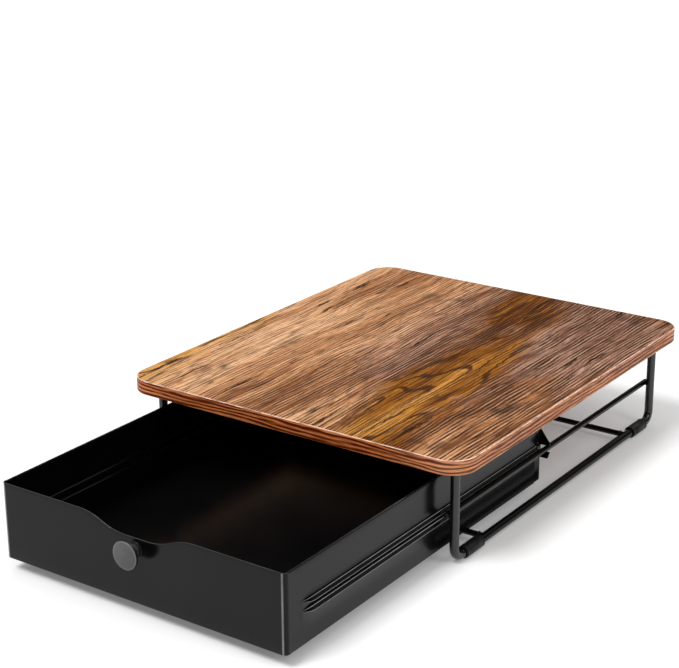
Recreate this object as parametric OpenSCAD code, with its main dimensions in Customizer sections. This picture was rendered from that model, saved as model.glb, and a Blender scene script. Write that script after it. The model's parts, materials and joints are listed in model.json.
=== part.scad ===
// Coffee pod drawer: a wooden shelf board on a round-rod frame, with a
// sheet steel drawer that slides on two side rails under the board.
// Millimetres, +Z up, +X to the right, -Y towards the user.
// The origin is on the table, under the middle of the whole object at rest.

/* [Top board] */
// Width of the top board
board_width = 330; // [290:1:450]
// Depth of the top board, front to back
board_depth = 389; // [300:1:450]
// Thickness of the top board
board_thickness = 12; // [10:0.5:18]
// Gap between the drawer's top edge and the board's underside
top_gap = 11; // [6:0.5:40]
// Corner radius of the board, seen from above
board_corner_r = 22; // [8:1:40]
// Thickness of the glued edge band
band_thickness = 1; // [0.5:0.1:2]

/* [Frame rods] */
// Diameter of the legs and floor bars
rod_d = 7.5; // [6:0.1:8]
// Distance from the board's side edge to the legs' axes
leg_side_inset = 19.5; // [14:0.5:40]
// Distance from the board's front edge to the front leg's axis
front_leg_inset = 24; // [16:1:40]
// Distance from the board's rear edge to the rear leg's axis
rear_leg_inset = 20.5; // [14:0.5:40]
// Centre-line radius of the bend at the foot of each leg
foot_bend_r = 10; // [8:0.5:12]
// Diameter of the cross bars under the drawer
cross_bar_d = 5; // [4:0.1:6]
// Height of the cross bars' axis above the floor bars' axis
cross_bar_rise = 2.25; // [1.5:0.05:2.7]
// Distance from the front sleeve's end to the front cross bar's axis
front_cross_gap = 4; // [3.5:0.5:60]
// Distance from the rear sleeve's end to the rear cross bar's axis
rear_cross_gap = 12; // [3.5:0.5:60]

/* [Foot sleeves] */
// Outer diameter of the foot sleeves
sleeve_d = 10.5; // [10:0.1:12]
// Length of a foot sleeve
sleeve_length = 26; // [12:1:60]
// Distance from the end of the foot's bend to its sleeve
sleeve_setback = 3; // [1:0.5:10]

/* [Guide rails] */
// Diameter of the guide rails that carry the drawer
rail_d = 5; // [4:0.1:6]
// Height of the guide rails' axis above the drawer's bottom
rail_rise = 30; // [26:0.5:34]
// Distance from the drawer's side wall to the rail's axis
rail_gap = 5.5; // [5.2:0.1:6]
// Depth by which a rail is coped into the legs where it is welded
rail_cope = 0.4; // [0.2:0.1:0.8]
// Length of rail that stands past the legs' axes
rail_overhang = 2; // [1:0.5:6]

/* [Drawer] */
// Gap between the closed drawer's brackets and the rear legs
closing_gap = 7; // [2:0.5:40]
// Gap between the drawer's bottom and the cross bars
ground_gap = 1; // [0.5:0.1:3]
// Height of the drawer's walls
drawer_height = 63; // [52:1:120]
// Thickness of the drawer's sheet steel
sheet = 1; // [0.8:0.1:1.2]
// Outer radius of the bent vertical corners
drawer_corner_r = 3; // [2.5:0.5:6]
// How far the drawer is pulled out at rest
drawer_out = 177; // [0:1:300]
// Height of the hem folded inwards along the side walls
hem_height = 6; // [3:0.5:10]
// Distance from the drawer's back to the end of the side walls
side_lap = 12; // [12:0.5:18]
// Length of the back panel's flanges inside the side walls
back_flange_length = 24; // [22:1:40]

/* [Front scoop] */
// Depth of the finger scoop in the front panel's top edge
scoop_depth = 10; // [4:0.5:16]
// Half width of the level bottom of the scoop
scoop_flat = 10; // [4:1:20]
// Length of each S-shaped flank of the scoop
scoop_flank = 45; // [30:1:60]

/* [Side beads] */
// Radius of the two pressed beads on each side wall
bead_r = 2.6; // [2.2:0.1:2.9]
// How far the beads stand out from the wall
bead_out = 4.2; // [3.8:0.1:4.8]
// Distance from the drawer's front to the tip of the beads
bead_start = 17; // [10:1:40]
// Running clearance between the beads and the guide rail
bead_clearance = 0.3; // [0.1:0.1:0.6]

/* [Rear guide brackets] */
// How far the brackets' wings reach behind the legs as a stop
wing_engage = 1.4; // [0.8:0.1:2]
// Height of the tall wing that rides over the rail
upper_wing_height = 14; // [8:0.5:18]
// Height of the small wing that runs under the rail
lower_wing_height = 6; // [5:0.5:8]
// Clearance between the wings and the rail
wing_clearance = 0.3; // [0.2:0.1:0.8]
// Diameter of the rivet heads
rivet_head_d = 4; // [3:0.1:5]

/* [Knob] */
// Diameter of the knob's face
knob_d = 22.5; // [16:0.5:30]
// Distance from the bottom of the scoop down to the knob's axis
knob_drop = 9; // [8:0.5:20]
// How far the knob stands out from the front panel
knob_out = 13; // [12:0.5:30]
// Diameter of the knob's base washer
knob_base_d = 13; // [11:0.5:16]

/* [Fixings] */
// Thickness of the plates that join the legs to the board
plate_thickness = 2; // [1.5:0.1:3]
// Length of a leg plate, towards the middle of the board
plate_length = 44; // [42:1:60]
// Width of a leg plate
plate_width = 18; // [16:1:26]
// Diameter of the wood screws
wood_screw_d = 4; // [3:0.1:5]
// Length of a wood screw's shank below its head
wood_screw_length = 10; // [7:0.5:10]
// Diameter of the knob's screw
knob_screw_d = 4; // [3:0.1:5]

/* [Hidden] */
$fn = 64;
left = -1;
right = 1;

// Colours
wood_colour = [0.50, 0.31, 0.18];
band_colour = [0.47, 0.25, 0.14];
black_steel = [0.10, 0.10, 0.10];
black_rubber = [0.05, 0.05, 0.05];
bright_steel = [0.62, 0.62, 0.60];

// Legs, guide rails and the drawer's walls, from the board's edge inwards
leg_x = board_width / 2 - leg_side_inset;
rail_x = leg_x - rod_d / 2 + rail_cope - rail_d / 2;
wall_x = rail_x - rail_gap;
lapped_x = wall_x - sheet;
front_leg_y = front_leg_inset;
rear_leg_y = board_depth - rear_leg_inset;

// Heights, from the table upwards
foot_z = sleeve_d / 2;
cross_bar_z = foot_z + cross_bar_rise;
drawer_bottom_z = cross_bar_z + cross_bar_d / 2 + ground_gap;
floor_top_z = drawer_bottom_z + sheet;
rail_z = drawer_bottom_z + rail_rise;
drawer_top_z = drawer_bottom_z + drawer_height;
board_bottom_z = drawer_top_z + top_gap;
plate_bottom_z = board_bottom_z - plate_thickness;

// Sleeves, and the bars measured from their ends
sleeve_start = foot_bend_r + sleeve_setback;
sleeve_mid = sleeve_start + sleeve_length / 2;
sleeve_end = sleeve_start + sleeve_length;
sleeve_chamfer = 0.8;
floor_bar_front_y = front_leg_y + sleeve_mid;
floor_bar_rear_y = rear_leg_y - sleeve_mid;
front_cross_y = front_leg_y + sleeve_end + front_cross_gap;
rear_cross_y = rear_leg_y - sleeve_end - rear_cross_gap;

// Leg plates and their screws
plate_outer_margin = 6;
plate_corner_r = 3;
plate_hole_clearance = 0.25;
plate_screw_first = 14;
plate_screw_pitch = 16;
screw_head_ratio = 2;
screw_head_taper = 0.7;
wood_screw_head_h = 2;
pilot_spare = 0.5;
screw_slot_w = 1;
screw_slot_h = 1;

// The drawer has y = 0 at its front face and x = 0 in the middle, and its
// length leaves the closing gap before the rear legs
wing_edge_gap = 0.2;
wing_rear_y = rear_leg_y - rod_d / 2 - closing_gap;
wing_front_y = wing_rear_y - sheet;
drawer_length = wing_rear_y + drawer_corner_r - sheet + wing_edge_gap;
side_end_y = drawer_length - side_lap;
back_corner_r = drawer_corner_r - 2 * sheet;
hem_root = sheet / 2;

// Beads: each one lies against the rail from above or from below
bead_x = wall_x + bead_out - bead_r;
bead_reach = bead_r + rail_d / 2 + bead_clearance;
bead_side = rail_x - bead_x;
bead_rise = sqrt(bead_reach * bead_reach - bead_side * bead_side);

// Scoop: each flank is two equal arcs that meet halfway, and its crest is a
// little above the drawer's top edge, so that the curve runs out through it
scoop_run_out = 0.15;
scoop_z = drawer_top_z - scoop_depth;
scoop_rise = scoop_depth + scoop_run_out;
scoop_arc_r = (pow(scoop_flank, 2) + pow(scoop_rise, 2)) / (4 * scoop_rise);
scoop_middle = scoop_flat + scoop_flank / 2;
scoop_end = scoop_flat + scoop_flank;
scoop_cut_height = 2 * scoop_depth;
cut_margin = 1;

// Rear guide brackets
bracket_edge_gap = 0.5;
bracket_front_y = side_end_y + bracket_edge_gap;
wing_x = leg_x - rod_d / 2 + wing_engage;
upper_wing_z = rail_z + rail_d / 2 + wing_clearance;
lower_wing_z = rail_z - rail_d / 2 - wing_clearance;
bracket_top_z = upper_wing_z + upper_wing_height;
bracket_bottom_z = lower_wing_z - lower_wing_height;
wing_tip = 2;
lower_wing_taper = 2;
rivet_y = (bracket_front_y + wing_front_y) / 2;
upper_rivet_rise = 2;
lower_rivet_rise = 2.8;
rivet_head_h = 1;
rivet_head_taper = 0.6;
rivet_shank_d = rivet_head_d / 2;

// Knob, built along its own axis from the panel outwards
knob_z = scoop_z - knob_drop;
knob_base_h = 1.6;
knob_base_chamfer = 0.5;
knob_neck_r = 4.8;
knob_foot_r = 5.6;
knob_foot_h = 1.5;
knob_face_h = 3.4;
knob_flare_h = 2.6;
knob_flare_r = 3;
knob_rim = 0.9;
knob_socket_depth = 7;
knob_screw_spare = 0.5;
knob_screw_head_h = 2.4;

// The whole object is centred front to back while the drawer is at rest
object_front_y = min(0, -drawer_out - knob_out);
centre_y = (object_front_y + board_depth) / 2;

module placed() {
    translate([0, -centre_y, 0]) children();
}

module in_drawer() {
    placed() translate([0, -drawer_out, 0]) children();
}

module along_y(x, y, z, length, d) {
    translate([x, y, z]) rotate([-90, 0, 0]) cylinder(h = length, d = d);
}

// Rectangle with round corners, from two bars and four discs
module round_rect(width, depth, r) {
    translate([r, 0]) square([width - 2 * r, depth]);
    translate([0, r]) square([width, depth - 2 * r]);
    for (x = [r, width - r], y = [r, depth - r])
        translate([x, y]) circle(r = r);
}

module board_outline(inset) {
    translate([-board_width / 2 + inset, inset])
        round_rect(board_width - 2 * inset, board_depth - 2 * inset,
            board_corner_r - inset);
}

// Places one child at each wood screw of one leg plate
module at_wood_screws(side, leg_y) {
    for (i = [0, 1])
        translate([side * (leg_x - plate_screw_first - i * plate_screw_pitch), leg_y, 0])
            children();
}

module at_all_wood_screws() {
    for (side = [left, right], leg_y = [front_leg_y, rear_leg_y])
        at_wood_screws(side, leg_y) children();
}

module top_board() placed() color(wood_colour) difference() {
    translate([0, 0, board_bottom_z])
        linear_extrude(board_thickness) board_outline(band_thickness);
    at_all_wood_screws() translate([0, 0, board_bottom_z - cut_margin])
        cylinder(h = wood_screw_length - plate_thickness + pilot_spare + cut_margin,
            d = wood_screw_d);
}

module edge_band() placed() color(band_colour)
    translate([0, 0, board_bottom_z]) linear_extrude(board_thickness)
        difference() {
            board_outline(0);
            board_outline(band_thickness);
        }

// Leg with its bent foot; turn is 1 where the foot points to the rear
module leg(side, leg_y, turn) placed() color(black_steel) {
    bend_z = foot_z + foot_bend_r;
    translate([side * leg_x, leg_y, 0]) {
        translate([0, 0, bend_z])
            cylinder(h = plate_bottom_z - bend_z, d = rod_d);
        translate([0, turn * foot_bend_r, bend_z])
            rotate([90, 0, 90]) rotate([0, 0, turn > 0 ? 180 : 270])
                rotate_extrude(angle = 90)
                    translate([foot_bend_r, 0]) circle(d = rod_d);
        along_y(0, turn > 0 ? foot_bend_r : -sleeve_mid, foot_z,
            sleeve_mid - foot_bend_r, rod_d);
    }
}

module front_leg_left() leg(left, front_leg_y, 1);
module front_leg_right() leg(right, front_leg_y, 1);
module rear_leg_left() leg(left, rear_leg_y, -1);
module rear_leg_right() leg(right, rear_leg_y, -1);

module leg_plate(side, leg_y) placed() color(black_steel) difference() {
    translate([side * leg_x, leg_y, plate_bottom_z])
        mirror([side > 0 ? 1 : 0, 0, 0])
            linear_extrude(plate_thickness)
                translate([-plate_outer_margin, -plate_width / 2])
                    round_rect(plate_length, plate_width, plate_corner_r);
    at_wood_screws(side, leg_y) translate([0, 0, plate_bottom_z - cut_margin])
        cylinder(h = plate_thickness + 2 * cut_margin,
            d = wood_screw_d + 2 * plate_hole_clearance);
}

module front_leg_plate_left() leg_plate(left, front_leg_y);
module front_leg_plate_right() leg_plate(right, front_leg_y);
module rear_leg_plate_left() leg_plate(left, rear_leg_y);
module rear_leg_plate_right() leg_plate(right, rear_leg_y);

// Cross-recessed screw along +Z, with the underside of its head at z = 0
module screw(d, length, head_h) difference() {
    head_d = screw_head_ratio * d;
    union() {
        cylinder(h = length, d = d);
        translate([0, 0, -head_h])
            cylinder(h = head_h, d1 = head_d * screw_head_taper, d2 = head_d);
    }
    for (angle = [0, 90]) rotate([0, 0, angle])
        translate([-d / 2, -screw_slot_w / 2, -head_h - cut_margin])
            cube([d, screw_slot_w, screw_slot_h + cut_margin]);
}

module board_screws() placed() color(bright_steel)
    at_all_wood_screws() translate([0, 0, plate_bottom_z])
        screw(wood_screw_d, wood_screw_length, wood_screw_head_h);

module floor_bar(side) placed() color(black_steel)
    along_y(side * leg_x, floor_bar_front_y, foot_z,
        floor_bar_rear_y - floor_bar_front_y, rod_d);

module floor_bar_left() floor_bar(left);
module floor_bar_right() floor_bar(right);

// Cross bar with both ends coped to the floor bars
module cross_bar(y) placed() color(black_steel) difference() {
    translate([-leg_x, y, cross_bar_z])
        rotate([0, 90, 0]) cylinder(h = 2 * leg_x, d = cross_bar_d);
    for (side = [left, right])
        along_y(side * leg_x, y - cross_bar_d, foot_z, 2 * cross_bar_d, rod_d);
}

module front_cross_bar() cross_bar(front_cross_y);
module rear_cross_bar() cross_bar(rear_cross_y);

// Sleeve along +Y from its near end, bored for the leg's foot and the bar
module sleeve(side, y) placed() color(black_rubber)
    translate([side * leg_x, y, foot_z]) rotate([-90, 0, 0]) rotate_extrude() {
        r = sleeve_d / 2;
        polygon([
            [rod_d / 2, 0],
            [r - sleeve_chamfer, 0],
            [r, sleeve_chamfer],
            [r, sleeve_length - sleeve_chamfer],
            [r - sleeve_chamfer, sleeve_length],
            [rod_d / 2, sleeve_length]
        ]);
    }

module front_sleeve(side) sleeve(side, front_leg_y + sleeve_start);
module rear_sleeve(side) sleeve(side, rear_leg_y - sleeve_start - sleeve_length);

module front_sleeve_left() front_sleeve(left);
module front_sleeve_right() front_sleeve(right);
module rear_sleeve_left() rear_sleeve(left);
module rear_sleeve_right() rear_sleeve(right);

// Guide rail with round ends, coped where it is welded to the two legs
module guide_rail(side) placed() color(black_steel) difference() {
    rail_ends = [front_leg_y - rail_overhang, rear_leg_y + rail_overhang];
    union() {
        along_y(side * rail_x, rail_ends[0], rail_z, rail_ends[1] - rail_ends[0], rail_d);
        for (y = rail_ends)
            translate([side * rail_x, y, rail_z]) sphere(d = rail_d);
    }
    for (y = [front_leg_y, rear_leg_y])
        translate([side * leg_x, y, rail_z - rail_d])
            cylinder(h = 2 * rail_d, d = rod_d);
}

module guide_rail_left() guide_rail(left);
module guide_rail_right() guide_rail(right);

// Plan of a tray of the drawer's length, whose wall has the given inset
module tray_plan(inset) {
    translate([-wall_x + inset, inset])
        round_rect(2 * (wall_x - inset), drawer_length - inset,
            drawer_corner_r - inset);
}

// Plan of the bent strip: the front and both sides, open at the back
module shell_plan() difference() {
    tray_plan(0);
    tray_plan(sheet);
    translate([-wall_x - cut_margin, side_end_y])
        square([2 * (wall_x + cut_margin), side_lap + cut_margin]);
}

// Right flank of the scoop to be cut, in the plane of the front panel
module scoop_side() {
    intersection() {
        translate([scoop_flat, scoop_z - cut_margin])
            square([scoop_flank / 2, scoop_cut_height + cut_margin]);
        translate([scoop_flat, scoop_z + scoop_arc_r]) circle(r = scoop_arc_r);
    }
    difference() {
        translate([scoop_middle, scoop_z])
            square([scoop_flank / 2, scoop_cut_height]);
        translate([scoop_end, scoop_z + scoop_rise - scoop_arc_r])
            circle(r = scoop_arc_r);
    }
}

module scoop_cut() translate([0, sheet + cut_margin, 0]) rotate([90, 0, 0])
    linear_extrude(sheet + 2 * cut_margin) {
        translate([-scoop_flat, scoop_z]) square([2 * scoop_flat, scoop_cut_height]);
        scoop_side();
        mirror([1, 0]) scoop_side();
    }

// One bead on the right wall, thinner by skin and rooted inside the wall:
// a bar with a round nose, whose half turn meets the bar's flat end
module bead(z, skin) {
    r = bead_r - skin;
    start = bead_start + bead_r;
    root_x = wall_x - sheet / 2 - skin;
    root = bead_x - root_x;
    translate([0, side_end_y + skin, z]) rotate([90, 0, 0])
        linear_extrude(side_end_y + skin - start) {
            translate([bead_x, 0]) circle(r = r);
            translate([root_x, -r]) square([root, 2 * r]);
        }
    translate([root_x, start, z]) rotate([180, 0, 0]) rotate([0, 90, 0])
        rotate_extrude(angle = 180) {
            square([r, root]);
            intersection() {
                translate([0, root]) circle(r = r);
                translate([0, root]) square([2 * r, 2 * r]);
            }
        }
}

module side_beads(skin) {
    for (side = [0, 1], rise = [-bead_rise, bead_rise])
        mirror([side, 0, 0]) bead(rail_z + rise, skin);
}

module side_hems() {
    for (side = [0, 1]) mirror([side, 0, 0])
        translate([lapped_x - sheet, drawer_corner_r, drawer_top_z - hem_height])
            cube([sheet + hem_root, drawer_length - back_flange_length - drawer_corner_r,
                hem_height]);
}

module knob_hole() translate([0, -cut_margin, knob_z]) rotate([-90, 0, 0])
    cylinder(h = sheet + 2 * cut_margin, d = knob_screw_d);

module drawer_shell() in_drawer() color(black_steel) difference() {
    union() {
        translate([0, 0, drawer_bottom_z])
            linear_extrude(drawer_height) shell_plan();
        side_hems();
        side_beads(0);
    }
    side_beads(sheet);
    scoop_cut();
    knob_hole();
}

module drawer_floor() in_drawer() color(black_steel)
    translate([0, 0, drawer_bottom_z]) linear_extrude(sheet) tray_plan(sheet);

// Places one child at each rivet of the right bracket, along +X
module at_rivets() {
    for (z = [bracket_bottom_z + lower_rivet_rise, upper_wing_z + upper_rivet_rise])
        translate([0, rivet_y, z]) rotate([0, 90, 0]) children();
}

module rivet_holes() at_rivets() translate([0, 0, lapped_x - sheet - cut_margin])
    cylinder(h = 2 * sheet + 2 * cut_margin, d = rivet_shank_d);

// Back panel: a channel whose flanges lie inside the side walls
module drawer_back() in_drawer() color(black_steel) difference() {
    translate([0, 0, floor_top_z]) linear_extrude(drawer_height - sheet)
        difference() {
            tray_plan(sheet);
            translate([-lapped_x + sheet, 0])
                round_rect(2 * (lapped_x - sheet), drawer_length - sheet,
                    back_corner_r);
            translate([-wall_x, 0])
                square([2 * wall_x, drawer_length - back_flange_length]);
        }
    for (side = [0, 1]) mirror([side, 0, 0]) rivet_holes();
}

// Wing outlines in the plane across the drawer
module wings() {
    polygon([
        [lapped_x, upper_wing_z],
        [wing_x, upper_wing_z],
        [wing_x, upper_wing_z + wing_tip],
        [wall_x, bracket_top_z],
        [lapped_x, bracket_top_z]
    ]);
    polygon([
        [lapped_x, lower_wing_z],
        [wing_x, lower_wing_z],
        [wing_x - lower_wing_taper, bracket_bottom_z],
        [lapped_x, bracket_bottom_z]
    ]);
}

// Right bracket: a web riveted to the back panel's flange, with two wings
module guide_bracket() difference() {
    union() {
        translate([lapped_x, bracket_front_y, bracket_bottom_z])
            cube([sheet, wing_rear_y - bracket_front_y,
                bracket_top_z - bracket_bottom_z]);
        translate([0, wing_rear_y, 0]) rotate([90, 0, 0])
            linear_extrude(sheet) wings();
    }
    rivet_holes();
}

module guide_bracket_left() in_drawer() color(black_steel)
    mirror([1, 0, 0]) guide_bracket();
module guide_bracket_right() in_drawer() color(black_steel) guide_bracket();

module rivet() {
    cylinder(h = 2 * sheet, d = rivet_shank_d);
    translate([0, 0, 2 * sheet])
        cylinder(h = rivet_head_h, d1 = rivet_head_d, d2 = rivet_head_d * rivet_head_taper);
    translate([0, 0, -rivet_head_h])
        cylinder(h = rivet_head_h, d1 = rivet_head_d * rivet_head_taper, d2 = rivet_head_d);
}

module bracket_rivets() in_drawer() color(bright_steel)
    for (side = [0, 1]) mirror([side, 0, 0])
        at_rivets() translate([0, 0, lapped_x - sheet]) rivet();

// Places the knob's parts: local +Z points out of the front panel
module at_knob() in_drawer() translate([0, 0, knob_z]) rotate([90, 0, 0]) children();

module knob_head() at_knob() color(black_steel) rotate_extrude() {
    top = knob_out;
    rim_z = top - knob_face_h;
    flare_z = rim_z - knob_flare_h;
    polygon([
        [knob_screw_d / 2, knob_base_h],
        [knob_foot_r, knob_base_h],
        [knob_neck_r, knob_base_h + knob_foot_h],
        [knob_neck_r, flare_z],
        [knob_d / 2 - knob_flare_r, rim_z],
        [knob_d / 2, rim_z + knob_rim],
        [knob_d / 2, top - knob_rim],
        [knob_d / 2 - knob_rim, top],
        [0, top],
        [0, knob_base_h + knob_socket_depth],
        [knob_screw_d / 2, knob_base_h + knob_socket_depth]
    ]);
}

module knob_base() at_knob() color(black_steel) rotate_extrude()
    polygon([
        [knob_screw_d / 2, 0],
        [knob_base_d / 2, 0],
        [knob_base_d / 2, knob_base_h - knob_base_chamfer],
        [knob_base_d / 2 - knob_base_chamfer, knob_base_h],
        [knob_screw_d / 2, knob_base_h]
    ]);

module knob_screw() at_knob() color(bright_steel)
    translate([0, 0, -sheet])
        screw(knob_screw_d, sheet + knob_base_h + knob_socket_depth - knob_screw_spare,
            knob_screw_head_h);

top_board();
edge_band();
front_leg_left();
front_leg_right();
rear_leg_left();
rear_leg_right();
front_leg_plate_left();
front_leg_plate_right();
rear_leg_plate_left();
rear_leg_plate_right();
board_screws();
floor_bar_left();
floor_bar_right();
front_cross_bar();
rear_cross_bar();
front_sleeve_left();
front_sleeve_right();
rear_sleeve_left();
rear_sleeve_right();
guide_rail_left();
guide_rail_right();
drawer_shell();
drawer_floor();
drawer_back();
guide_bracket_left();
guide_bracket_right();
bracket_rivets();
knob_head();
knob_base();
knob_screw();
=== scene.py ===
import json
import math

import bmesh
import bpy
from mathutils import Matrix, Vector, noise


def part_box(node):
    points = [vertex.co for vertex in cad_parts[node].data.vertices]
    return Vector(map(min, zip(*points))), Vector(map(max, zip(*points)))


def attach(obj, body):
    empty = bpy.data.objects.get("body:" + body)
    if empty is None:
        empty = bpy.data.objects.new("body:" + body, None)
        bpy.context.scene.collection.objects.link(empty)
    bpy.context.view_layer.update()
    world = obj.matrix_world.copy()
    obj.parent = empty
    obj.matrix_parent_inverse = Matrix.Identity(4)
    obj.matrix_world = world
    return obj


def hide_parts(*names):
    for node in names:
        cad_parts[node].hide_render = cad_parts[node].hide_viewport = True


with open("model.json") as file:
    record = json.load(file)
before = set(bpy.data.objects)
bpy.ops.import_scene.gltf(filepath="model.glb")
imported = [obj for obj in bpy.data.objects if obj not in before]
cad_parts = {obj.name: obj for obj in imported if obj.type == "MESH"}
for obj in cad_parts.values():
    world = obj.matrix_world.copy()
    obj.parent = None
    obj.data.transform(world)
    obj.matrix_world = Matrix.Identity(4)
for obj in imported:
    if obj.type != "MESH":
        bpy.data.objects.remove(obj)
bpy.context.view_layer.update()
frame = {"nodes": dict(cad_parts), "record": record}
scene = bpy.context.scene
MM = 0.001


# ---------------------------------------------------------------- camera
# A pinhole camera fitted to the outlines in the photograph, in the frame's metres
CAMERA_RIGHT = Vector((0.81860, 0.57434, -0.00580))
CAMERA_UP = Vector((-0.18591, 0.27451, 0.94344))
CAMERA_FORWARD = Vector((-0.54345, 0.77122, -0.33149))
CAMERA_AT = (0.75813, -1.09664, 0.60713)
FOCAL_PIXELS = 1708.3
PICTURE_WIDTH = 679
SENSOR_WIDTH = 36

camera_data = bpy.data.cameras.new("camera")
camera_data.sensor_width = SENSOR_WIDTH
camera_data.lens = SENSOR_WIDTH * FOCAL_PIXELS / PICTURE_WIDTH
camera_data.clip_start, camera_data.clip_end = 0.05, 50
camera = bpy.data.objects.new("camera", camera_data)
scene.collection.objects.link(camera)
turn = Matrix((CAMERA_RIGHT, CAMERA_UP, -CAMERA_FORWARD)).transposed().to_4x4()
camera.matrix_world = Matrix.Translation(CAMERA_AT) @ turn
scene.camera = camera


# ------------------------------------------------------------- materials
# Mesh attribute: how strongly a painted highlight, a pale line in the paint, lies at a point, from
# 0 to 1
PAINTED_HIGHLIGHT = "highlight_paint"
# Most values of a noise texture lie between these two
NOISE_LOW, NOISE_HIGH = 0.3, 0.7


def grey(value):
    return (value, value, value)


def set_stops(ramp, stops):
    """Gives a colour ramp its (position, colour) stops, which are in rising order."""
    elements = ramp.elements
    for element, (at, colour) in ((elements[0], stops[0]), (elements[-1], stops[-1])):
        element.position = at
        element.color = (*colour, 1)
    for at, colour in stops[1:-1]:
        elements.new(at).color = (*colour, 1)


class Shader:
    """A node material with short helpers. Its textures lie in object space."""

    def __init__(self, name, roughness, metallic=0.0, specular=0.5):
        self.material = bpy.data.materials.new(name)
        self.material.use_nodes = True
        self.tree = self.material.node_tree
        self.tree.nodes.clear()
        out = self.node("ShaderNodeOutputMaterial")
        self.bsdf = self.node("ShaderNodeBsdfPrincipled")
        self.link(self.bsdf.outputs["BSDF"], out.inputs["Surface"])
        self.bsdf.inputs["Roughness"].default_value = roughness
        self.bsdf.inputs["Metallic"].default_value = metallic
        self.bsdf.inputs["Specular IOR Level"].default_value = specular
        self.place = self.node("ShaderNodeTexCoord").outputs["Object"]

    def node(self, kind, **values):
        made = self.tree.nodes.new(kind)
        for key, value in values.items():
            setattr(made, key, value)
        return made

    def link(self, a, b):
        self.tree.links.new(a, b)

    def noise(self, scale, detail, rough=0.55, place=None, shift=(0, 0, 0)):
        """Noise whose features are 1/scale metres, along each axis or all three."""
        made = self.node("ShaderNodeTexNoise")
        made.inputs["Scale"].default_value = 1.0
        made.inputs["Detail"].default_value = detail
        made.inputs["Roughness"].default_value = rough
        mapping = self.node("ShaderNodeMapping")
        if not isinstance(scale, tuple):
            scale = (scale,) * 3
        mapping.inputs["Scale"].default_value = scale
        mapping.inputs["Location"].default_value = shift
        self.link(place or self.place, mapping.inputs["Vector"])
        self.link(mapping.outputs["Vector"], made.inputs["Vector"])
        return made.outputs["Fac"]

    def ramp(self, value, stops):
        """Colour by value, over (position, colour) stops."""
        made = self.node("ShaderNodeValToRGB")
        set_stops(made.color_ramp, stops)
        self.link(value, made.inputs["Fac"])
        return made.outputs["Color"]

    def two_tone(self, texture, dark, light):
        """Dark to light colour over the body of a noise."""
        return self.ramp(texture, [(NOISE_LOW, dark), (NOISE_HIGH, light)])

    def span(self, value, low, high, to_low=0.0, to_high=1.0):
        """Carries low..high to to_low..to_high, and holds the value there outside."""
        made = self.node("ShaderNodeMapRange")
        made.inputs["From Min"].default_value = low
        made.inputs["From Max"].default_value = high
        made.inputs["To Min"].default_value = to_low
        made.inputs["To Max"].default_value = to_high
        self.link(value, made.inputs["Value"])
        return made.outputs["Result"]

    def spread(self, texture, to_low, to_high):
        """Carries the body of a noise to to_low..to_high."""
        return self.span(texture, NOISE_LOW, NOISE_HIGH, to_low, to_high)

    def mix(self, factor, a, b, kind="MIX"):
        """Blends colour b over a; each input is a socket, a number or a colour."""
        made = self.node("ShaderNodeMix", data_type="RGBA", blend_type=kind)
        made.clamp_factor = True
        for socket, value in ((made.inputs[0], factor), (made.inputs[6], a), (made.inputs[7], b)):
            if isinstance(value, bpy.types.NodeSocket):
                self.link(value, socket)
            elif isinstance(value, (int, float)):
                socket.default_value = value
            else:
                socket.default_value = (*value, 1)
        return made.outputs[2]

    def marks(self, base, rows):
        """Lays marks over base, a row each: (texture, start, full, strength, colour).

        A mark begins where its texture is at start, and has its strength where that is at full."""
        for texture, start, full, strength, colour in rows:
            base = self.mix(self.span(texture, start, full, 0, strength), base, colour)
        return base

    def math(self, kind, a, b=None):
        made = self.node("ShaderNodeMath", operation=kind)
        for socket, value in zip(made.inputs, (a, b)):
            if isinstance(value, bpy.types.NodeSocket):
                self.link(value, socket)
            elif value is not None:
                socket.default_value = value
        return made.outputs[0]

    def add(self, first, *others):
        for other in others:
            first = self.math("ADD", first, other)
        return first

    def times(self, a, b):
        return self.math("MULTIPLY", a, b)

    def centred(self, texture, gain):
        """A noise about zero, times gain."""
        return self.times(self.math("SUBTRACT", texture, 0.5), gain)

    def wave(self, along, pitch, swing):
        """A sine of -1 to 1 along a coordinate, with its pitch in metres, swung about by swing."""
        return self.math("SINE", self.add(self.times(along, 2 * math.pi / pitch), swing))

    def xyz(self, place=None):
        made = self.node("ShaderNodeSeparateXYZ")
        self.link(place or self.place, made.inputs[0])
        return made.outputs

    def join(self, *axes):
        made = self.node("ShaderNodeCombineXYZ")
        for socket, value in zip(made.inputs, axes):
            self.link(value, socket)
        return made.outputs[0]

    def bump(self, height, strength, depth):
        """Bump from a height texture, with its depth in mm."""
        made = self.node("ShaderNodeBump")
        made.inputs["Strength"].default_value = strength
        made.inputs["Distance"].default_value = depth * MM
        self.link(height, made.inputs["Height"])
        self.link(made.outputs["Normal"], self.bsdf.inputs["Normal"])

    def colour(self, value):
        self.link(value, self.bsdf.inputs["Base Color"])

    def roughness(self, value):
        self.link(value, self.bsdf.inputs["Roughness"])


def powder_coat(name, tone, smooth, rough, grain, specular):
    """Satin black paint: a fine texture, slow changes of tone, pale specks, and painted highlights:
    pale lines where the mesh's attribute marks them.

    Its roughness lies from smooth to rough, and its texture has grain features to a metre."""
    s = Shader(name, (smooth + rough) / 2, specular=specular)
    dark, light, pale = ([channel * share for channel in tone] for share in (0.72, 1.35, 2.1))
    fine = s.noise(grain, detail=3, rough=0.6)
    base = s.two_tone(s.noise(14, detail=3), dark, light)
    base = s.marks(base, [(s.noise(3200, detail=1), 0.62, 0.8, 0.35, pale)])
    uneven = s.spread(s.noise(60, detail=3), 0.7, 1.0)
    # Painted highlight: paler paint mixed in where the mesh attribute asks for it, standing in for
    # glints on edges and crests
    painted_highlight = s.times(s.node("ShaderNodeAttribute", attribute_name=PAINTED_HIGHLIGHT).outputs["Fac"], uneven)
    s.colour(s.mix(painted_highlight, base, grey(0.42)))
    s.roughness(s.spread(fine, smooth, rough))
    s.bump(fine, strength=0.10, depth=0.12)
    return s.material


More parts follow.
